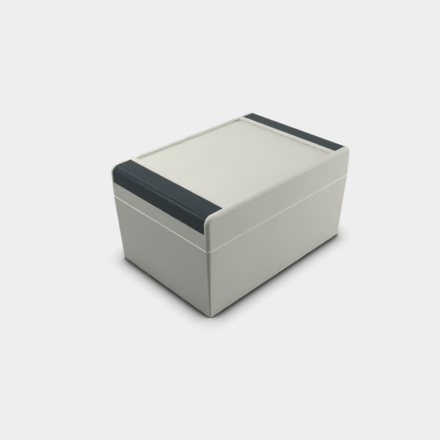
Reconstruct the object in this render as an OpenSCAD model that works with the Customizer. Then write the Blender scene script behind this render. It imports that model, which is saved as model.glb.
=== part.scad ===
/* [Size] */
// Length over the rim at the parting line
body_l = 160; // [140:1:200]
// Width over the rim at the parting line
body_w = 110.5; // [104:0.5:150]
// Height from the table to the top of the lid
body_h = 86; // [83:0.5:110]
// Height of the parting line between base and lid
base_h = 60.5; // [40:0.5:62]
// How far each base wall leans in between the rim and the table
base_draft = 2.2; // [0.8:0.05:2.2]
// How far each lid wall leans in between the rim and the top edge radius
lid_draft = 0.35; // [0.2:0.05:0.5]

/* [Edges] */
// Radius of the upright corners at the parting line
corner_r = 2.8; // [2.6:0.1:4]
// Radius across each end of the lid and over each cover strip
end_r = 6; // [5:0.5:8]
// Bevel on the rim of the base, which catches the light as a fine line
rim_bevel = 0.6; // [0.3:0.1:0.8]
// Bevel under the lower edge of the lid, which opens the parting line to the light
lid_bevel = 0.4; // [0.2:0.1:0.5]
// Step from the rim of the base in to the wall of the lid
lid_step = 0.15; // [0:0.05:0.2]

/* [Walls and seal] */
// Thickness of the walls at the parting line
wall = 4; // [4:0.1:5]
// How far the base's inner walls lean in between the rim and the floor
inner_draft = 1; // [0.5:0.1:1.5]
// Thickness of the base's floor
floor_t = 3; // [2:0.5:5]
// Thickness of the lid's panel under the recess
panel_t = 3; // [2:0.5:4]
// Width of the sealing tongue on the base
tongue_w = 1.4; // [1.2:0.1:1.6]
// Height of the sealing tongue above the parting line
tongue_h = 3; // [2:0.5:3.5]
// Height of the gasket above the tongue
gasket_h = 2; // [1:0.5:2.5]
// Clearance beside the tongue and the gasket in the groove
groove_gap = 0.2; // [0.1:0.05:0.25]

/* [Recessed panel] */
// Depth of the recess for a keypad or a label
recess_d = 1.7; // [0.6:0.1:2]
// Width of the bar between the recess and each cover strip
bar_w = 4.9; // [4:0.1:8]
// Distance from the recess to the outer face of each long side
rail_w = 4.15; // [3.8:0.05:6]

/* [Cover strips] */
// Width of each cover strip seen from above
strip_w = 17.3; // [14:0.1:17.5]
// Height of each cover strip's front
strip_drop = 13.3; // [11:0.1:15]
// Thickness of a cover strip
strip_t = 2.2; // [1.8:0.1:2.6]
// Thickness of the lid's cheeks beyond the ends of each strip
cheek_t = 3.55; // [3.5:0.05:4]
// Gap all round a cover strip
strip_gap = 0.3; // [0.2:0.05:0.4]
// Radius of the hinge pins moulded on the strips
pin_r = 0.7; // [0.6:0.05:0.75]
// Length of each hinge pin
pin_len = 1.6; // [1.2:0.1:1.8]
// Radial clearance of a hinge pin in the cheek
pin_gap = 0.05; // [0.02:0.01:0.08]

/* [Screws] */
// Distance of the screws and the wall holes from each end
fixing_inset = 10; // [9.8:0.1:10.2]
// Distance of the lid screws from each long side
screw_inset = 10; // [9.9:0.1:10.5]
// Distance of the wall holes from each long side
wall_hole_inset = 22.75; // [22.25:0.05:23.25]
// Radius of a wall hole through the floor
wall_hole_r = 2.25; // [1.8:0.05:2.8]
// Radius of the shaft that takes the head of a wall screw
head_shaft_r = 4.25; // [3.5:0.05:4.4]
// Radius of the screw thread
thread_r = 2; // [1.5:0.1:2]

/* [Hidden] */
$fn = 64;

shell_colour = [0.80, 0.80, 0.76];
strip_colour = [0.25, 0.29, 0.31];
seal_colour = [0.12, 0.12, 0.13];
steel_colour = [0.72, 0.73, 0.75];
brass_colour = [0.78, 0.62, 0.30];
ring_colour = [0.92, 0.92, 0.90];

// small overlap that keeps cutters clear of the faces they open
cut = 1;
half_l = body_l / 2;
half_w = body_w / 2;

// screws and wall holes, in from the ends and the long sides
fixing_x = half_l - fixing_inset;
screw_y = half_w - screw_inset;
wall_hole_y = half_w - wall_hole_inset;

// inside faces of the outer walls, and of the walls round the corner pockets
inner_l = half_l - wall;
inner_w = half_w - wall;
pocket_len = 12;
pocket_wid = 26.5;
core_l = inner_l - pocket_len - wall;
core_w = inner_w - pocket_wid - wall;
seal_corner_r = 2;
tongue_in = (wall - tongue_w) / 2;

// lid levels
top_z = body_h;
panel_z = top_z - recess_d;
lid_roof_z = panel_z - panel_t;
channel_z = top_z - strip_drop - 0.2;
channel_floor_t = 3.2;
channel_under_z = channel_z - channel_floor_t;
lid_half_l = half_l - lid_draft;
lid_half_w = half_w - lid_draft;
rail_r = corner_r - lid_draft;
channel_in_x = lid_half_l - strip_w - strip_gap;
cheek_in_y = lid_half_w - cheek_t;

// cover strip pivot, near the inner top edge, which is rounded enough to swing past the bar
bead_r = strip_t / 2;
edge_r = bead_r - 2 * strip_gap;
edge_x = channel_in_x + strip_gap;
pivot_x = edge_x + bead_r;
pivot_z = top_z - bead_r;
strip_half_len = cheek_in_y - strip_gap;

// snap nib on each end of a strip
nib_r = 1.2;
nib_out = 0.25;
nib_x = lid_half_l - 3;
nib_z = channel_z + 4;

// screw stack, from the head down
head_r = 3.5;
head_h = 2.8;
head_sink = 0.6;
head_z = channel_z - head_sink;
neck_r = 1.6;
ring_h = 1.4;
ring_z = channel_under_z - 0.4 - ring_h;
boss_r = 5.2;
tube_r = head_shaft_r + 1.55;
insert_r = 2.8;
insert_h = 7.5;
insert_z = base_h - 0.1 - insert_h;
screw_tip_z = insert_z - 1;
shaft_floor_t = 6;

// side view of a block that grows by each profile radius beyond its core
function side_outline(profile, core) = concat(
    [for (p = profile) [core + p[0], p[1]]],
    [for (i = [len(profile) - 1 : -1 : 0]) [-core - profile[i][0], profile[i][1]]]);

// block with rounded upright corners; profile lists [corner radius, height] from the bottom up
module moulded_block(profile, core_x, core_y) {
    low = profile[0][1];
    high = profile[len(profile) - 1][1];
    for (turn = [0 : 3]) {
        sx = (turn == 0 || turn == 3) ? 1 : -1;
        sy = turn < 2 ? 1 : -1;
        translate([sx * core_x, sy * core_y, 0])
            rotate([0, 0, 90 * turn])
                rotate_extrude(angle = 90)
                    polygon(concat([[0, low]], profile, [[0, high]]));
    }
    rotate([90, 0, 0])
        linear_extrude(2 * core_y, center = true)
            polygon(side_outline(profile, core_x));
    rotate([90, 0, 90])
        linear_extrude(2 * core_x, center = true)
            polygon(side_outline(profile, core_y));
}

module rounded_rect(half_x, half_y, r) {
    square([2 * half_x, 2 * (half_y - r)], center = true);
    square([2 * (half_x - r), 2 * half_y], center = true);
    for (sx = [-1, 1], sy = [-1, 1])
        translate([sx * (half_x - r), sy * (half_y - r)])
            circle(r);
}

// plan of the sealed inside, which steps inward round the four corner pockets
module seal_plan(grow) {
    rounded_rect(core_l + grow, inner_w + grow, seal_corner_r + grow);
    rounded_rect(inner_l + grow, core_w + grow, seal_corner_r + grow);
}

// the same inside with leaning walls, from a profile like moulded_block's
module drafted_inside(profile) {
    moulded_block(profile, core_l - seal_corner_r, inner_w - seal_corner_r);
    moulded_block(profile, inner_l - seal_corner_r, core_w - seal_corner_r);
}

module seal_ring(z, height, inner, outer) {
    translate([0, 0, z])
        linear_extrude(height)
            difference() {
                seal_plan(outer);
                seal_plan(inner);
            }
}

module each_corner() {
    for (sx = [-1, 1], sy = [-1, 1])
        scale([sx, sy, 1]) children();
}

// dry corner pocket outside the seal, with its boss and its tube left standing
module corner_pocket(z, height) {
    pocket_x = core_l + wall;
    pocket_y = core_w + wall;
    rib_t = 1.8;
    translate([0, 0, z])
        linear_extrude(height)
            difference() {
                translate([pocket_x, pocket_y]) square([pocket_len, pocket_wid]);
                translate([fixing_x, screw_y]) circle(boss_r);
                translate([fixing_x, wall_hole_y]) circle(tube_r);
                translate([fixing_x - rib_t / 2, pocket_y - cut]) square([rib_t, pocket_wid + 2 * cut]);
                translate([fixing_x, screw_y - rib_t / 2]) square([pocket_len, rib_t]);
                translate([fixing_x, wall_hole_y - rib_t / 2]) square([pocket_len, rib_t]);
            }
}

module base() {
    color(shell_colour) {
        foot_bevel = 0.3;
        rim_z = base_h;
        low_r = corner_r - base_draft;
        profile = [[low_r - foot_bevel, 0], [low_r, foot_bevel],
            [corner_r, rim_z - rim_bevel], [corner_r - rim_bevel, rim_z]];
        difference() {
            moulded_block(profile, half_l - corner_r, half_w - corner_r);
            drafted_inside([[seal_corner_r - inner_draft, floor_t], [seal_corner_r, rim_z],
                [seal_corner_r, rim_z + cut]]);
            each_corner() {
                corner_pocket(floor_t, rim_z);
                translate([fixing_x, screw_y, insert_z])
                    cylinder(r = insert_r + 0.05, h = insert_h + cut);
                translate([fixing_x, screw_y, insert_z - 6])
                    cylinder(r = thread_r + 0.2, h = 7);
                translate([fixing_x, wall_hole_y, shaft_floor_t])
                    cylinder(r = head_shaft_r, h = rim_z);
                translate([fixing_x, wall_hole_y, -cut])
                    cylinder(r = wall_hole_r, h = shaft_floor_t + 2 * cut);
            }
        }
        seal_ring(rim_z, tongue_h, tongue_in, tongue_in + tongue_w);
        board_pillars();
        board_guides();
    }
}

// pillars for a circuit board, each with a pilot hole for a self-tapping screw
module board_pillars() {
    pillar_h = 8;
    for (px = [-48, 0, 48], py = [-39, 39])
        translate([px, py, floor_t - 0.2])
            difference() {
                cylinder(r = 3.5, h = pillar_h + 0.2);
                translate([0, 0, 1.2]) cylinder(r = 1.45, h = pillar_h);
            }
}

// upright slots on the long walls that hold a board on edge
module board_guides() {
    rib_t = 1.5;
    slot_w = 2;
    rib_out = 2.6;
    for (px = [-30, 30], side = [-1, 1], sx = [-1, 1])
        translate([px + sx * (slot_w + rib_t) / 2, side * (inner_w - rib_out / 2 + 0.1), floor_t - 0.2])
            linear_extrude(base_h - floor_t - 4)
                square([rib_t, rib_out + 0.2], center = true);
}

// outside of the lid: rails rounded along the sides, ends rounded more, corners blended into both
module lid_outside() {
    arc_z = top_z - end_r;
    rail_z = top_z - rail_r;
    disc_x = lid_half_l - end_r;
    disc_y = lid_half_w - rail_r;
    moulded_block([[corner_r - lid_step - lid_bevel, base_h], [corner_r - lid_step, base_h + lid_bevel],
        [rail_r, arc_z]], half_l - corner_r, half_w - corner_r);
    // between the rails the ends turn over with end_r
    rotate([90, 0, 0])
        linear_extrude(2 * disc_y, center = true) {
            translate([-disc_x, arc_z]) square([2 * disc_x, end_r]);
            for (sx = [-1, 1])
                intersection() {
                    translate([sx * disc_x, arc_z]) circle(end_r);
                    translate([sx > 0 ? disc_x : -lid_half_l, arc_z]) square(end_r);
                }
        }
    // between the ends the sides turn over with rail_r
    rotate([90, 0, 90])
        linear_extrude(2 * disc_x, center = true) {
            translate([-disc_y, arc_z]) square([2 * disc_y, end_r]);
            for (sy = [-1, 1]) {
                translate([sy > 0 ? disc_y : -lid_half_w, arc_z]) square([rail_r, rail_z - arc_z]);
                intersection() {
                    translate([sy * disc_y, rail_z]) circle(rail_r);
                    translate([sy > 0 ? disc_y : -lid_half_w, rail_z]) square(rail_r);
                }
            }
        }
    // blended corners
    for (sx = [-1, 1], sy = [-1, 1])
        translate([sx * disc_x, sy * disc_y, arc_z])
            scale([sx, sy, 1])
                rotate([-90, 0, 0])
                    rotate([0, 0, -90])
                        rotate_extrude(angle = 90) {
                            square([end_r - rail_r, rail_r]);
                            intersection() {
                                translate([end_r - rail_r, 0]) circle(rail_r);
                                translate([end_r - rail_r, 0]) square(rail_r);
                            }
                        }
}

module lid() {
    color(shell_colour) {
        recess_half_l = channel_in_x - bar_w;
        recess_half_w = lid_half_w - rail_w;
        recess_corner = 1;
        edge = 0.2;
        difference() {
            lid_outside();
            // recess for a keypad, its upper edge softened
            moulded_block([[recess_corner, panel_z], [recess_corner, top_z - edge],
                [recess_corner + edge, top_z], [recess_corner + edge, top_z + cut]],
                recess_half_l - recess_corner, recess_half_w - recess_corner);
            // inside, up to the channels and between them up to the panel
            translate([0, 0, base_h - cut])
                linear_extrude(channel_under_z - base_h + cut) seal_plan(0);
            translate([0, 0, base_h])
                linear_extrude(lid_roof_z - base_h)
                    rounded_rect(core_l, inner_w, seal_corner_r);
            seal_ring(base_h - cut, tongue_h + gasket_h + cut,
                tongue_in - groove_gap, tongue_in + tongue_w + groove_gap);
            for (sx = [-1, 1])
                scale([sx, 1, 1])
                    translate([channel_in_x, -cheek_in_y, channel_z])
                        cube([strip_w + 2 * cut, 2 * cheek_in_y, strip_drop + 2 * cut]);
            each_corner() {
                corner_pocket(base_h - cut, channel_under_z - base_h + cut);
                translate([fixing_x, screw_y, base_h - cut])
                    cylinder(r = head_r + 0.4, h = channel_under_z - base_h + cut);
                translate([fixing_x, screw_y, base_h])
                    cylinder(r = thread_r + 0.25, h = head_z - base_h + cut);
                translate([fixing_x, screw_y, head_z])
                    cylinder(r = head_r + 0.4, h = strip_drop);
                translate([fixing_x, wall_hole_y, base_h - cut])
                    cylinder(r = head_shaft_r, h = channel_z - base_h + 2 * cut);
                // bearing for the hinge pin and dimple for the snap nib
                translate([pivot_x, cheek_in_y - cut, pivot_z])
                    rotate([-90, 0, 0])
                        cylinder(r = pin_r + pin_gap, h = pin_len - strip_gap + 0.2 + cut);
                translate([nib_x, cheek_in_y + nib_r - nib_out, nib_z])
                    sphere(nib_r + 0.1);
            }
        }
        lid_pillars();
    }
}

// short pillars under the panel for a display or a front board
module lid_pillars() {
    pillar_h = 6;
    for (px = [-45, 45], py = [-38, 38])
        translate([px, py, lid_roof_z - pillar_h])
            difference() {
                cylinder(r = 3.5, h = pillar_h + 0.2);
                translate([0, 0, -cut]) cylinder(r = 1.45, h = pillar_h + cut);
            }
}

module gasket() {
    color(seal_colour)
        seal_ring(base_h + tongue_h, gasket_h,
            tongue_in - groove_gap / 2, tongue_in + tongue_w + groove_gap / 2);
}

// inner edge of a strip, with its hinge bead below
module strip_edge() {
    translate([edge_x + edge_r, pivot_z]) square([bead_r - edge_r, bead_r]);
    translate([edge_x, pivot_z]) square([bead_r, bead_r - edge_r]);
    intersection() {
        translate([edge_x + edge_r, top_z - edge_r]) circle(edge_r);
        translate([edge_x, top_z - edge_r]) square(edge_r);
    }
    intersection() {
        translate([pivot_x, pivot_z]) circle(bead_r);
        translate([edge_x, pivot_z - bead_r]) square(bead_r);
    }
}

// outline of a strip's end, solid behind its outer faces
module strip_outline(out_x, low_z) {
    arc_x = out_x - end_r;
    arc_z = top_z - end_r;
    translate([pivot_x, low_z]) square([arc_x - pivot_x, top_z - low_z]);
    translate([arc_x, low_z]) square([end_r, arc_z - low_z]);
    intersection() {
        translate([arc_x, arc_z]) circle(end_r);
        translate([arc_x, arc_z]) square(end_r);
    }
}

// space behind the strip's wall
module strip_hollow(out_x, low_z) {
    arc_x = out_x - end_r;
    arc_z = top_z - end_r;
    inner_r = end_r - strip_t;
    translate([pivot_x - cut, low_z - cut]) square([arc_x - pivot_x + cut, top_z - strip_t - low_z + cut]);
    translate([arc_x, low_z - cut]) square([inner_r, arc_z - low_z + cut]);
    intersection() {
        translate([arc_x, arc_z]) circle(inner_r);
        translate([arc_x, arc_z]) square(inner_r);
    }
}

// strip for the right-hand end
module cover_strip() {
    out_x = lid_half_l;
    low_z = channel_z + 0.2;
    web_t = 1.6;
    gusset_t = 1.4;
    gusset_leg = 5;
    color(strip_colour) {
        rotate([90, 0, 0])
            linear_extrude(2 * strip_half_len, center = true) {
                strip_edge();
                difference() {
                    strip_outline(out_x, low_z);
                    strip_hollow(out_x, low_z);
                }
            }
        // hinge pins
        translate([pivot_x, 0, pivot_z])
            rotate([90, 0, 0])
                cylinder(r = pin_r, h = 2 * (strip_half_len + pin_len), center = true);
        // end webs with the snap nibs
        for (side = [-1, 1]) {
            translate([0, side * (strip_half_len - web_t / 2), 0])
                rotate([90, 0, 0])
                    linear_extrude(web_t, center = true)
                        intersection() {
                            strip_outline(out_x, low_z);
                            polygon([[pivot_x, pivot_z - 1], [pivot_x, top_z], [out_x, top_z],
                                [out_x, low_z], [out_x - 6, low_z]]);
                        }
            translate([nib_x, side * (strip_half_len - nib_r + nib_out), nib_z])
                sphere(nib_r);
        }
        // gussets behind the rounded edge
        for (gy = [-30, -10, 10, 30])
            translate([0, gy, 0])
                rotate([90, 0, 0])
                    linear_extrude(gusset_t, center = true)
                        intersection() {
                            strip_outline(out_x, low_z);
                            polygon([[out_x - strip_t - gusset_leg, top_z - strip_t],
                                [out_x - strip_t - gusset_leg, top_z],
                                [out_x, top_z], [out_x, top_z - strip_t - gusset_leg],
                                [out_x - strip_t, top_z - strip_t - gusset_leg]]);
                        }
    }
}

module cover_strip_right() {
    cover_strip();
}

module cover_strip_left() {
    rotate([0, 0, 180]) cover_strip();
}

// corners run anticlockwise from the front left
function corner_sign(i) = [i == 1 || i == 2 ? 1 : -1, i < 2 ? -1 : 1];

module at_corner(i) {
    s = corner_sign(i);
    translate([s[0] * fixing_x, s[1] * screw_y, 0]) children();
}

// captive screw with a cross recess
module lid_screw(i) {
    color(steel_colour)
        at_corner(i)
            difference() {
                rotate_extrude()
                    polygon([[0, screw_tip_z], [thread_r - 0.6, screw_tip_z], [thread_r, screw_tip_z + 0.6],
                        [thread_r, insert_z + insert_h], [neck_r, insert_z + insert_h + 0.6],
                        [neck_r, head_z], [head_r, head_z],
                        [head_r, head_z + head_h - 0.6], [head_r - 0.9, head_z + head_h],
                        [0, head_z + head_h]]);
                for (turn = [0, 90])
                    rotate([0, 0, turn])
                        translate([-2, -0.4, head_z + head_h - 1.5])
                            cube([4, 0.8, 1.5 + cut]);
            }
}

module retaining_ring(i) {
    color(ring_colour)
        at_corner(i)
            translate([0, 0, ring_z])
                difference() {
                    cylinder(r = head_r, h = ring_h);
                    translate([0, 0, -cut]) cylinder(r = neck_r + 0.05, h = ring_h + 2 * cut);
                }
}

// brass insert with a waist between its two knurled bands
module insert(i) {
    color(brass_colour)
        at_corner(i)
            translate([0, 0, insert_z])
                difference() {
                    rotate_extrude()
                        polygon([[0, 0], [insert_r - 0.4, 0], [insert_r, 0.4], [insert_r, 3],
                            [insert_r - 0.5, 3.4], [insert_r - 0.5, 4.4], [insert_r, 4.8],
                            [insert_r, insert_h], [0, insert_h]]);
                    translate([0, 0, -cut]) cylinder(r = thread_r + 0.05, h = insert_h + 2 * cut);
                }
}

base();
lid();
gasket();
cover_strip_left();
cover_strip_right();
lid_screw(0);  // lid_screw_1
lid_screw(1);  // lid_screw_2
lid_screw(2);  // lid_screw_3
lid_screw(3);  // lid_screw_4
retaining_ring(0);  // retaining_ring_1
retaining_ring(1);  // retaining_ring_2
retaining_ring(2);  // retaining_ring_3
retaining_ring(3);  // retaining_ring_4
insert(0);  // insert_1
insert(1);  // insert_2
insert(2);  // insert_3
insert(3);  // insert_4
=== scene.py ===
import math

import bmesh
import bpy
from mathutils import Matrix, Vector


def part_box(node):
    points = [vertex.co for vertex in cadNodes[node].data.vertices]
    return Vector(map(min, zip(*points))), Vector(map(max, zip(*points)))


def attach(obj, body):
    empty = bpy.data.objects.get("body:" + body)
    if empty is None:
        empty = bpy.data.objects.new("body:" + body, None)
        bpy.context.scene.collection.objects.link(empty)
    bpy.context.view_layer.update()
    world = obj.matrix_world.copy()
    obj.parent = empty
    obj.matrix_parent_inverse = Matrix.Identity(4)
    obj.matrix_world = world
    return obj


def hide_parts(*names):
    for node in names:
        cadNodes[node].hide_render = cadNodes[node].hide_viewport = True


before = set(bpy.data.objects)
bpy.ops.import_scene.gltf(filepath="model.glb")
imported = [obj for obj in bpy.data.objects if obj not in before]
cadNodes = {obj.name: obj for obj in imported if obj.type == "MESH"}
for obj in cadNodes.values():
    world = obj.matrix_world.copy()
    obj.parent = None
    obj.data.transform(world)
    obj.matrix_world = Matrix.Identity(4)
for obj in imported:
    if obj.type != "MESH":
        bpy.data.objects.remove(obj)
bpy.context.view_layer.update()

scene = bpy.context.scene
scene.view_settings.view_transform = "Standard"
mm = 0.001


def srgb(red, green, blue):
    # written colour, 0 to 255, to the linear value that sockets take
    def channel(value):
        v = value / 255
        return v / 12.92 if v <= 0.04045 else ((v + 0.055) / 1.055) ** 2.4
    return (channel(red), channel(green), channel(blue), 1)


def addNode(tree, kind, settings=None, **inputs):
    # inputs are values or sockets, keyed by the socket's name with _ for a space, or i0, i1 by place
    node = tree.nodes.new(kind)
    for key, value in (settings or {}).items():
        setattr(node, key, value)
    for key, value in inputs.items():
        byPlace = key[0] == "i" and key[1:].isdigit()
        socket = node.inputs[int(key[1:])] if byPlace else node.inputs[key.replace("_", " ")]
        if isinstance(value, bpy.types.NodeSocket):
            tree.links.new(value, socket)
        else:
            socket.default_value = value
    return node


def vector(tree, x=0.0, y=0.0, z=0.0):
    return addNode(tree, "ShaderNodeCombineXYZ", X=x, Y=y, Z=z).outputs[0]


def calc(tree, operation, first, second=0.0, third=0.0):
    node = addNode(tree, "ShaderNodeMath", {"operation": operation}, i0=first, i1=second, i2=third)
    return node.outputs[0]


# materials

def newMaterial(name):
    material = bpy.data.materials.new(name)
    material.use_nodes = True
    material.node_tree.nodes.clear()
    return material, material.node_tree


def setOutput(tree, shader):
    out = tree.nodes.new("ShaderNodeOutputMaterial")
    tree.links.new(shader, out.inputs["Surface"])


def blendColours(tree, factor, first, second):
    mix = addNode(tree, "ShaderNodeMix", {"data_type": "RGBA"}, i0=factor)
    for place, colour in ((6, first), (7, second)):
        if isinstance(colour, bpy.types.NodeSocket):
            tree.links.new(colour, mix.inputs[place])
        else:
            mix.inputs[place].default_value = colour
    return mix.outputs[2]


def noise(tree, place, size, detail=2.0):
    return addNode(tree, "ShaderNodeTexNoise", Vector=place, Scale=1 / size, Detail=detail).outputs["Fac"]


def spread(tree, value, low, high, toLow=0.0, toHigh=1.0):
    return addNode(tree, "ShaderNodeMapRange", Value=value, From_Min=low, From_Max=high,
                   To_Min=toLow, To_Max=toHigh).outputs[0]


def bump(tree, height, distance, strength=0.6, under=None):
    node = addNode(tree, "ShaderNodeBump", Height=height, Distance=distance, Strength=strength)
    if under is not None:
        tree.links.new(under, node.inputs["Normal"])
    return node.outputs[0]


def edgeMask(tree, softNormal):
    # 0 on flats, up to 1 where the softened normal turns away at an edge
    flat = addNode(tree, "ShaderNodeNewGeometry").outputs["Normal"]
    along = addNode(tree, "ShaderNodeVectorMath", {"operation": "DOT_PRODUCT"}, i0=softNormal, i1=flat)
    return spread(tree, along.outputs["Value"], 0.995, 0.85)


lightGrey = dict(tint=srgb(203, 203, 194), pale=srgb(208, 208, 199), edge=srgb(214, 214, 206),
                 roughness=0.42, grain=0.22 * mm, grainDepth=0.012 * mm, specular=0.3, edgeRadius=0.12 * mm,
                 edgePolish=0.06)
slateGrey = dict(tint=srgb(48, 58, 61), pale=srgb(54, 64, 67), edge=srgb(64, 75, 79), roughness=0.18,
                 grain=0.2 * mm, grainDepth=0.008 * mm, specular=0.05, edgeRadius=0.12 * mm,
                 edgePolish=0.06)
# painted highlight: a paler, smoother band on the base's top rim stands for the light caught along the
# parting line
paintedRimHighlight = dict(tint=srgb(230, 230, 221), width=0.7 * mm, roughness=0.5)


def mouldedPlastic(name, look, rimTop=None):
    # spark-eroded grain, faint flow clouds, and edges slightly smoother and paler;
    # below rimTop, where it is given, runs a smoother rim painted paler as a highlight along the parting
    # line
    material, tree = newMaterial(name)
    place = addNode(tree, "ShaderNodeTexCoord").outputs["Object"]
    soft = addNode(tree, "ShaderNodeBevel", {"samples": 4}, Radius=look["edgeRadius"]).outputs[0]
    flow = noise(tree, place, 28 * mm, 3.0)
    speckle = noise(tree, place, 0.9 * mm)
    clouds = calc(tree, "ADD", flow, speckle)
    body = blendColours(tree, spread(tree, clouds, 0.7, 1.3), look["tint"], look["pale"])
    edges = edgeMask(tree, soft)
    colour = blendColours(tree, edges, body, look["edge"])
    level = look["roughness"]
    cloudy = spread(tree, flow, 0.3, 0.7, level - 0.03, level + 0.03)
    rough = calc(tree, "MULTIPLY_ADD", edges, -look["edgePolish"], cloudy)
    if rimTop is not None:
        height = addNode(tree, "ShaderNodeSeparateXYZ", Vector=place).outputs["Z"]
        half = paintedRimHighlight["width"] / 2
        onHighlightRim = calc(tree, "COMPARE", height, rimTop - half, half + 0.02 * mm)
        # painted highlight: the rim band is coloured paler than the body plastic
        colour = blendColours(tree, onHighlightRim, colour, paintedRimHighlight["tint"])
        rough = spread(tree, onHighlightRim, 0.0, 1.0, level, paintedRimHighlight["roughness"])
    grain = bump(tree, noise(tree, place, look["grain"]), look["grainDepth"], under=soft)
    plastic = addNode(tree, "ShaderNodeBsdfPrincipled", Base_Color=colour, Roughness=rough,
                      Normal=grain, IOR=1.5, Specular_IOR_Level=look["specular"])
    setOutput(tree, plastic.outputs[0])
    return material


foamRubber = dict(tint=srgb(26, 26, 28), pale=srgb(40, 40, 42), roughness=0.85, pore=0.25 * mm,
                  poreDepth=0.05 * mm)


def rubberMaterial(name, look):
    material, tree = newMaterial(name)
    place = addNode(tree, "ShaderNodeTexCoord").outputs["Object"]
    pores = addNode(tree, "ShaderNodeTexVoronoi", Vector=place, Scale=1 / look["pore"]).outputs["Distance"]
    dust = noise(tree, place, 4 * mm, 4.0)
    colour = blendColours(tree, spread(tree, dust, 0.35, 0.7), look["tint"], look["pale"])
    rough = spread(tree, dust, 0.3, 0.7, look["roughness"] - 0.07, look["roughness"] + 0.07)
    rubber = addNode(tree, "ShaderNodeBsdfPrincipled", Base_Color=colour, Roughness=rough,
                     Normal=bump(tree, pores, look["poreDepth"]), IOR=1.5, Specular_IOR_Level=0.3)
    setOutput(tree, rubber.outputs[0])
    return material


platedSteel = dict(tint=srgb(198, 200, 204), pale=srgb(214, 215, 218), roughness=0.24, turning=0.11 * mm,
                   turningDepth=0.004 * mm)
turnedBrass = dict(tint=srgb(204, 164, 88), pale=srgb(218, 184, 112), roughness=0.27, turning=0.13 * mm,
                   turningDepth=0.005 * mm)


def turnedMetal(name, look):
    # fine tool marks run round the part's own axis, which it carries in the attribute turnedPlace
    material, tree = newMaterial(name)
    own = addNode(tree, "ShaderNodeAttribute", {"attribute_name": "turnedPlace"}).outputs["Vector"]
    marks = addNode(tree, "ShaderNodeTexWave", {"wave_type": "RINGS", "rings_direction": "Z"}, Vector=own,
                    Scale=1 / look["turning"] / 20, Distortion=0.6, Detail=2.0).outputs["Fac"]
    place = addNode(tree, "ShaderNodeTexCoord").outputs["Object"]
    film = noise(tree, place, 1.6 * mm, 4.0)
    colour = blendColours(tree, spread(tree, film, 0.35, 0.65), look["tint"], look["pale"])
    rough = spread(tree, film, 0.3, 0.7, look["roughness"] - 0.05, look["roughness"] + 0.08)
    soft = addNode(tree, "ShaderNodeBevel", {"samples": 4}, Radius=0.06 * mm).outputs[0]
    metal = addNode(tree, "ShaderNodeBsdfPrincipled", Base_Color=colour, Roughness=rough,
                    Normal=bump(tree, marks, look["turningDepth"], under=soft), Metallic=1.0)
    setOutput(tree, metal.outputs[0])
    return material


naturalNylon = dict(tint=srgb(222, 220, 208), pale=srgb(232, 231, 222), roughness=0.4)


def nylonMaterial(name, look):
    material, tree = newMaterial(name)
    place = addNode(tree, "ShaderNodeTexCoord").outputs["Object"]
    haze = noise(tree, place, 1.2 * mm, 3.0)
    colour = blendColours(tree, spread(tree, haze, 0.35, 0.65), look["tint"], look["pale"])
    rough = spread(tree, haze, 0.3, 0.7, look["roughness"] - 0.05, look["roughness"] + 0.05)
    fine = bump(tree, noise(tree, place, 0.15 * mm), 0.006 * mm)
    nylon = addNode(tree, "ShaderNodeBsdfPrincipled", Base_Color=colour, Roughness=rough, Normal=fine,
                    IOR=1.53, Subsurface_Weight=0.25, Subsurface_Scale=0.6 * mm)
    setOutput(tree, nylon.outputs[0])
    return material


shellPlastic = mouldedPlastic("shell plastic", lightGrey)
basePlastic = mouldedPlastic("base plastic", lightGrey, rimTop=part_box("lid")[0][2])
stripPlastic = mouldedPlastic("strip plastic", slateGrey)
sealRubber = rubberMaterial("seal rubber", foamRubber)
screwSteel = turnedMetal("screw steel", platedSteel)
insertBrass = turnedMetal("insert brass", turnedBrass)
ringNylon = nylonMaterial("ring nylon", naturalNylon)

finishes = {"base": basePlastic, "lid": shellPlastic, "gasket": sealRubber,
            "cover_strip_left": stripPlastic, "cover_strip_right": stripPlastic}
for name, material in finishes.items():
    cadNodes[name].data.materials.clear()
    cadNodes[name].data.materials.append(material)
print("plastic and rubber finishes on")


# turned parts, repeated at the four corners by geometry nodes

def turnedMesh(name, outline, steps=48, ring=False):
    # solid of revolution about Z; outline is radius and height, anticlockwise, closed on itself for a ring
    shape = bmesh.new()
    rows = []
    for radius, height in outline:
        count = steps if radius > 0 else 1
        rows.append([shape.verts.new((radius * math.cos(turn), radius * math.sin(turn), height))
                     for turn in (2 * math.pi * i / steps for i in range(count))])
    pairs = list(zip(rows, rows[1:])) + ([(rows[-1], rows[0])] if ring else [])
    for lower, upper in pairs:
        for i in range(steps):
            corners = [lower[i % len(lower)], lower[(i + 1) % steps % len(lower)],
                       upper[(i + 1) % steps % len(upper)], upper[i % len(upper)]]
            shape.faces.new(list(dict.fromkeys(corners)))
    bmesh.ops.recalc_face_normals(shape, faces=shape.faces)
    mesh = bpy.data.meshes.new(name)
    shape.to_mesh(mesh)
    shape.free()
    return mesh


def roundedCorner(centreRadius, centreHeight, bend, start, end, steps=5):
    # arc in an outline, from start to end in degrees
    return [(centreRadius + bend * math.cos(math.radians(start + (end - start) * i / steps)),
             centreHeight + bend * math.sin(math.radians(start + (end - start) * i / steps)))
            for i in range(steps + 1)]


def startTree(name, sizes):
    tree = bpy.data.node_groups.new(name, "GeometryNodeTree")
    tree.interface.new_socket("Geometry", in_out="INPUT", socket_type="NodeSocketGeometry")
    for label, value in sizes.items():
        kind = "NodeSocketInt" if isinstance(value, int) else "NodeSocketFloat"
        tree.interface.new_socket(label, in_out="INPUT", socket_type=kind)
    tree.interface.new_socket("Geometry", in_out="OUTPUT", socket_type="NodeSocketGeometry")
    return tree, tree.nodes.new("NodeGroupInput").outputs


def joined(tree, *parts):
    join = tree.nodes.new("GeometryNodeJoinGeometry")
    for part in reversed(parts):
        tree.links.new(part, join.inputs[0])
    return join.outputs[0]


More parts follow.
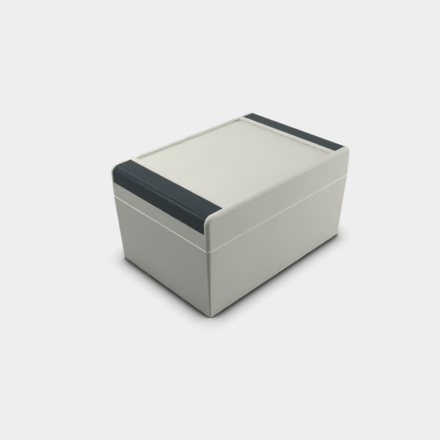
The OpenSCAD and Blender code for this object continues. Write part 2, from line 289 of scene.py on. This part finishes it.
def atCorners(tree, part, spanX, spanY, material):
    # the part remembers its own place, then stands at the four corners of a grid
    place = addNode(tree, "GeometryNodeInputPosition").outputs[0]
    kind = {"data_type": "FLOAT_VECTOR", "domain": "POINT"}
    marked = addNode(tree, "GeometryNodeStoreNamedAttribute", kind, Geometry=part, Name="turnedPlace")
    tree.links.new(place, marked.inputs["Value"])
    corners = addNode(tree, "GeometryNodeMeshGrid", Size_X=spanX, Size_Y=spanY, Vertices_X=2, Vertices_Y=2)
    spots = addNode(tree, "GeometryNodeMeshToPoints", Mesh=corners.outputs[0])
    stood = addNode(tree, "GeometryNodeInstanceOnPoints", Points=spots.outputs[0],
                    Instance=marked.outputs[0])
    real = addNode(tree, "GeometryNodeRealizeInstances", Geometry=stood.outputs[0])
    painted = addNode(tree, "GeometryNodeSetMaterial", Geometry=real.outputs[0], Material=material)
    out = tree.nodes.new("NodeGroupOutput")
    tree.links.new(painted.outputs[0], out.inputs[0])


def runTree(name, blank, tree, sizes, material):
    # evaluates the tree once on the blank and keeps the result as a plain mesh
    maker = bpy.data.objects.new(name + "Maker", blank)
    scene.collection.objects.link(maker)
    modifier = maker.modifiers.new("maker", "NODES")
    modifier.node_group = tree
    for item in tree.interface.items_tree:
        if item.in_out == "INPUT" and item.name in sizes:
            modifier[item.identifier] = sizes[item.name]
    bpy.context.view_layer.update()
    evaluated = maker.evaluated_get(bpy.context.evaluated_depsgraph_get())
    mesh = bpy.data.meshes.new_from_object(evaluated)
    maker.modifiers.remove(modifier)
    bpy.data.objects.remove(maker)
    mesh.name = name
    mesh.materials.clear()
    mesh.materials.append(material)
    mesh.shade_smooth()
    mesh.set_sharp_from_angle(angle=math.radians(38))
    piece = bpy.data.objects.new(name, mesh)
    scene.collection.objects.link(piece)
    return piece


def cornerSpans(node):
    low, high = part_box(node)
    return abs(low[0] + high[0]), abs(low[1] + high[1])


def crossCutter(top, depth, arm, halfWidth):
    # tapered cross that forms the driver recess
    shape = bmesh.new()
    rows = []
    for height, reach, side in ((top + depth / 2, arm * 1.25, halfWidth * 1.15),
                                (top - depth, arm * 0.45, halfWidth * 0.7)):
        spots = []
        for turn in range(4):
            for x, y in ((reach, -side), (reach, side), (side, side)):
                for _ in range(turn):
                    x, y = -y, x
                spots.append(shape.verts.new((x, y, height)))
        rows.append(spots)
    upper, lower = rows
    shape.faces.new(upper)
    shape.faces.new(lower)
    for i in range(12):
        j = (i + 1) % 12
        shape.faces.new((upper[i], upper[j], lower[j], lower[i]))
    bmesh.ops.recalc_face_normals(shape, faces=shape.faces)
    mesh = bpy.data.meshes.new("crossCutter")
    shape.to_mesh(mesh)
    shape.free()
    return mesh


def cutWith(blank, cutter):
    holder = bpy.data.objects.new("blankHolder", blank)
    tool = bpy.data.objects.new("cutterHolder", cutter)
    for each in (holder, tool):
        scene.collection.objects.link(each)
    modifier = holder.modifiers.new("recess", "BOOLEAN")
    modifier.operation = "DIFFERENCE"
    modifier.solver = "EXACT"
    modifier.object = tool
    bpy.context.view_layer.update()
    cut = bpy.data.meshes.new_from_object(holder.evaluated_get(bpy.context.evaluated_depsgraph_get()))
    bpy.data.objects.remove(holder)
    bpy.data.objects.remove(tool)
    return cut


screwSizes = dict(headHeight=2.8 * mm, headBend=0.7 * mm, neckRadius=1.6 * mm, coreRadius=1.62 * mm,
                  threadRadius=1.98 * mm, pitch=0.7 * mm, threadLength=8.5 * mm, recessDepth=1.7 * mm,
                  recessArm=2.0 * mm, recessHalfWidth=0.42 * mm)


def makeLidScrews(sizes):
    low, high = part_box("lid_screw_1")
    tip, top = low[2], high[2]
    headRadius = (high[0] - low[0]) / 2
    shoulder = top - sizes["headHeight"]
    bend = sizes["headBend"]
    core, neck = sizes["coreRadius"], sizes["neckRadius"]
    threadTop = tip + sizes["threadLength"]
    outline = [(0, tip), (core - 0.5 * mm, tip), (core, tip + 0.5 * mm), (core, threadTop),
               (neck, threadTop + 0.3 * mm), (neck, shoulder), (headRadius - 0.15 * mm, shoulder)]
    outline += roundedCorner(headRadius - 0.15 * mm, shoulder + 0.15 * mm, 0.15 * mm, -90, 0, 3)[1:]
    outline += roundedCorner(headRadius - bend, top - bend, bend, 0, 90)
    outline += [(0, top)]
    blank = turnedMesh("screwBlank", outline, 64)
    cross = crossCutter(top, sizes["recessDepth"], sizes["recessArm"], sizes["recessHalfWidth"])
    blank = cutWith(blank, cross)

    spanX, spanY = cornerSpans("lid_screw_1")
    values = {"Span X": spanX, "Span Y": spanY, "Thread Radius": sizes["threadRadius"],
              "Core Radius": core, "Pitch": sizes["pitch"], "Thread Low": tip + 0.5 * mm,
              "Thread High": threadTop - 0.2 * mm}
    tree, given = startTree("lid screws", values)
    # triangular thread swept along a spiral
    height = calc(tree, "SUBTRACT", given["Thread Radius"], given["Core Radius"])
    ridge = calc(tree, "MULTIPLY", height, 0.66)
    pathRadius = calc(tree, "SUBTRACT", given["Thread Radius"], ridge)
    length = calc(tree, "SUBTRACT", given["Thread High"], given["Thread Low"])
    turns = calc(tree, "DIVIDE", length, given["Pitch"])
    spiral = addNode(tree, "GeometryNodeCurveSpiral", Resolution=32, Rotations=turns,
                     Start_Radius=pathRadius, End_Radius=pathRadius, Height=length)
    upright = addNode(tree, "GeometryNodeSetCurveNormal", {"mode": "Z_UP"}, Curve=spiral.outputs[0])
    section = addNode(tree, "GeometryNodeCurvePrimitiveCircle", Resolution=3, Radius=ridge)
    swept = addNode(tree, "GeometryNodeCurveToMesh", Curve=upright.outputs[0],
                    Profile_Curve=section.outputs[0], Fill_Caps=True)
    raised = addNode(tree, "GeometryNodeTransform", Geometry=swept.outputs[0],
                     Translation=vector(tree, z=given["Thread Low"]))
    whole = joined(tree, given["Geometry"], raised.outputs[0])
    atCorners(tree, whole, given["Span X"], given["Span Y"], screwSteel)
    return runTree("lidScrews", blank, tree, values, screwSteel)


insertSizes = dict(boreRadius=2.03 * mm, coreRadius=2.56 * mm, waistRadius=2.3 * mm, knurlCount=26,
                   bandHeight=2.7 * mm, bandInset=0.35 * mm)


def makeInserts(sizes):
    low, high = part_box("insert_1")
    outer = (high[0] - low[0]) / 2
    bottom, top = low[2], high[2]
    bore, core, waist = sizes["boreRadius"], sizes["coreRadius"], sizes["waistRadius"]
    inset, band = sizes["bandInset"], sizes["bandHeight"]
    outline = [(bore, bottom), (core - 0.3 * mm, bottom), (core, bottom + inset),
               (core, bottom + inset + band),
               (waist, bottom + inset + band + 0.2 * mm), (waist, top - inset - band - 0.2 * mm),
               (core, top - inset - band), (core, top - 0.15 * mm), (core - 0.15 * mm, top), (bore, top)]
    blank = turnedMesh("insertBlank", outline, 48, ring=True)

    spanX, spanY = cornerSpans("insert_1")
    values = {"Span X": spanX, "Span Y": spanY, "Knurls": sizes["knurlCount"],
              "Outer Radius": outer - 0.01 * mm, "Core Radius": core, "Band Height": band,
              "Lower Band": bottom + inset + band / 2,
              "Upper Band": top - inset - band / 2}
    tree, given = startTree("knurled inserts", values)
    # each knurl is a bar on edge, half sunk in the core
    reach = calc(tree, "SUBTRACT", given["Outer Radius"], given["Core Radius"])
    side = calc(tree, "MULTIPLY", reach, math.sqrt(2))
    bar = addNode(tree, "GeometryNodeMeshCube", Size=vector(tree, side, side, given["Band Height"]))
    onEdge = addNode(tree, "GeometryNodeTransform", Geometry=bar.outputs[0])
    onEdge.inputs["Rotation"].default_value = (0, 0, math.radians(45))
    circle = addNode(tree, "GeometryNodeMeshCircle", Vertices=given["Knurls"], Radius=given["Core Radius"])
    place = addNode(tree, "GeometryNodeInputPosition").outputs[0]
    facing = addNode(tree, "FunctionNodeAlignRotationToVector", {"axis": "X", "pivot_axis": "Z"},
                     Vector=place)
    knurls = addNode(tree, "GeometryNodeInstanceOnPoints", Points=circle.outputs[0],
                     Instance=onEdge.outputs[0], Rotation=facing.outputs[0])
    bands = [addNode(tree, "GeometryNodeTransform", Geometry=knurls.outputs[0],
                     Translation=vector(tree, z=given[height])).outputs[0]
             for height in ("Lower Band", "Upper Band")]
    solid = addNode(tree, "GeometryNodeRealizeInstances", Geometry=joined(tree, *bands))
    whole = joined(tree, given["Geometry"], solid.outputs[0])
    atCorners(tree, whole, given["Span X"], given["Span Y"], insertBrass)
    return runTree("inserts", blank, tree, values, insertBrass)


ringSizes = dict(boreRadius=1.63 * mm, bend=0.3 * mm)


def makeRetainingRings(sizes):
    low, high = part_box("retaining_ring_1")
    outer = (high[0] - low[0]) / 2
    bottom, top = low[2], high[2]
    bore, bend = sizes["boreRadius"], sizes["bend"]
    outline = roundedCorner(outer - bend, bottom + bend, bend, -90, 0, 4)
    outline += roundedCorner(outer - bend, top - bend, bend, 0, 90, 4)
    outline += [(bore + bend, top), (bore, top - bend), (bore, bottom + bend), (bore + bend, bottom)]
    blank = turnedMesh("ringBlank", outline, 48, ring=True)
    spanX, spanY = cornerSpans("retaining_ring_1")
    values = {"Span X": spanX, "Span Y": spanY}
    tree, given = startTree("retaining rings", values)
    atCorners(tree, given["Geometry"], given["Span X"], given["Span Y"], ringNylon)
    return runTree("retainingRings", blank, tree, values, ringNylon)


for piece, prefix, slotName in ((makeLidScrews(screwSizes), "lid_screw_", "steel"),
                                (makeInserts(insertSizes), "insert_", "brass"),
                                (makeRetainingRings(ringSizes), "retaining_ring_", "ring")):
    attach(piece, "box")
    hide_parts(*[prefix + str(corner) for corner in (1, 2, 3, 4)])
    print(piece.name, "made,", len(piece.data.polygons), "faces")


# floor, lamps and backdrop

studio = dict(backgroundLevel=0.855, floorSize=6.0, bounceGrey=0.30, shadowReach=16.4 * mm)
# how dark the floor is, by how open the sky is above it
contactShadow = ((0.5, 0.02), (0.57, 0.18), (0.64, 0.41), (0.71, 0.62), (0.834, 0.82), (1.0, 1.0))
lampBoxes = {
    "overheadClose": dict(aim=(-0.05, 0, 0.087), bearing=(-0.1, 0.1, 1.0),
                          distance=0.5, size=(0.3, 0.3), watts=1.02),
    "overheadLeft": dict(aim=(-0.06, 0, 0.087), bearing=(-0.6, 0.2, 1.0),
                         distance=0.45, size=(0.3, 0.3), watts=0.51),
    "backLeft": dict(aim=(-0.05, 0.03, 0.087), bearing=(-0.35, 0.75, 0.6),
                     distance=0.5, size=(0.3, 0.3), watts=1.29,
                     sheen=False),
    "back": dict(aim=(0, 0, 0.05), bearing=(0, 0.77, 0.64), distance=1.2, size=(0.5, 0.5), watts=1.81),
    "rightBox": dict(aim=(0, 0, 0.05), bearing=(0.69, -0.69, 0.21),
                     distance=1.2, size=(0.5, 0.5), watts=5.75,
                     sheen=False),
    "rightClose": dict(aim=(0.05, -0.055, 0.05), bearing=(0.75, -0.65, 0.25), distance=0.4, size=(0.3, 0.3),
                       watts=0.92, sheen=False),
    "leftFill": dict(aim=(0, 0, 0.08), bearing=(-0.49, 0.6, 0.64),
                     distance=1.0, size=(0.5, 0.06), watts=0.46,
                     sheen=False),
    "stripEdge": dict(aim=(-0.08, 0, 0.08), bearing=(-0.62, 0.655, 0.435), along=(0.40, 0.875, -0.28),
                      distance=1.0,
                      size=(0.18, 0.04), watts=1.3, shading=False),
}
ambientLevel = 0.095


def seenDirectly(tree):
    # 1 for camera, glossy and transmission rays, 0 for the light that falls on the object
    ray = addNode(tree, "ShaderNodeLightPath").outputs
    either = calc(tree, "MAXIMUM", ray["Is Camera Ray"], ray["Is Glossy Ray"])
    return calc(tree, "MAXIMUM", either, ray["Is Transmission Ray"])


def makeFloor():
    mesh = bpy.data.meshes.new("floor")
    half = studio["floorSize"] / 2
    corners = [(-half, -half, 0), (half, -half, 0), (half, half, 0), (-half, half, 0)]
    mesh.from_pydata(corners, [], [(0, 1, 2, 3)])
    floor = bpy.data.objects.new("floor", mesh)
    scene.collection.objects.link(floor)
    material, tree = newMaterial("floor")
    level = studio["backgroundLevel"]
    nearBox = addNode(tree, "ShaderNodeAmbientOcclusion", {"samples": 16}, Distance=studio["shadowReach"])
    ramp = addNode(tree, "ShaderNodeValToRGB", Fac=nearBox.outputs["AO"])
    stops = ramp.color_ramp.elements
    while len(stops) < len(contactShadow):
        stops.new(0.5)
    for stop, (openness, shade) in zip(stops, contactShadow):
        stop.position = openness
        stop.color = (shade, shade, shade, 1)
    glow = addNode(tree, "ShaderNodeEmission", Color=ramp.outputs["Color"], Strength=level)
    dull = addNode(tree, "ShaderNodeBsdfDiffuse")
    dull.inputs["Color"].default_value = (studio["bounceGrey"],) * 3 + (1,)
    mixed = addNode(tree, "ShaderNodeMixShader", i0=seenDirectly(tree), i1=dull.outputs[0],
                    i2=glow.outputs[0])
    setOutput(tree, mixed.outputs[0])
    mesh.materials.append(material)


def makeLamps():
    for name, box in lampBoxes.items():
        lamp = bpy.data.lights.new(name, "AREA")
        lamp.shape = "RECTANGLE"
        lamp.size, lamp.size_y = box["size"]
        lamp.energy = box["watts"]
        holder = bpy.data.objects.new(name, lamp)
        away = Vector(box["bearing"]).normalized()
        holder.location = Vector(box["aim"]) + away * box["distance"]
        holder.rotation_euler = away.to_track_quat("Z", "Y").to_euler()
        if "along" in box:
            side = Vector(box["along"])
            side = (side - away * side.dot(away)).normalized()
            holder.rotation_euler = Matrix((side, away.cross(side), away)).transposed().to_euler()
        # soft boxes may shade without a sheen, and edge lights give a sheen alone
        holder.visible_glossy = box.get("sheen", True)
        holder.visible_diffuse = box.get("shading", True)
        scene.collection.objects.link(holder)


def makeWorld():
    world = bpy.data.worlds.new("studio")
    scene.world = world
    world.use_nodes = True
    tree = world.node_tree
    tree.nodes.clear()
    level = studio["backgroundLevel"]
    backdrop = addNode(tree, "ShaderNodeBackground", Color=(level, level, level, 1), Strength=1.0)
    ambient = addNode(tree, "ShaderNodeBackground", Color=(1, 1, 1, 1), Strength=ambientLevel)
    mixed = addNode(tree, "ShaderNodeMixShader", i0=seenDirectly(tree), i1=ambient.outputs[0],
                    i2=backdrop.outputs[0])
    out = tree.nodes.new("ShaderNodeOutputWorld")
    tree.links.new(mixed.outputs[0], out.inputs["Surface"])


# camera

viewpoint = dict(place=(-0.27603, -0.27422, 0.27358), azimuth=-44.953, elevation=32.501, lens=44.73,
                 shiftX=-0.02824)


def makeCamera():
    data = bpy.data.cameras.new("camera")
    data.lens = viewpoint["lens"]
    data.sensor_width = 36
    data.shift_x = viewpoint["shiftX"]
    data.clip_start = 0.01
    camera = bpy.data.objects.new("camera", data)
    camera.location = viewpoint["place"]
    tilt = math.radians(90 - viewpoint["elevation"])
    camera.rotation_euler = (tilt, 0, math.radians(viewpoint["azimuth"]))
    scene.collection.objects.link(camera)
    scene.camera = camera


makeFloor()
makeLamps()
makeWorld()
makeCamera()
print("studio and camera ready")
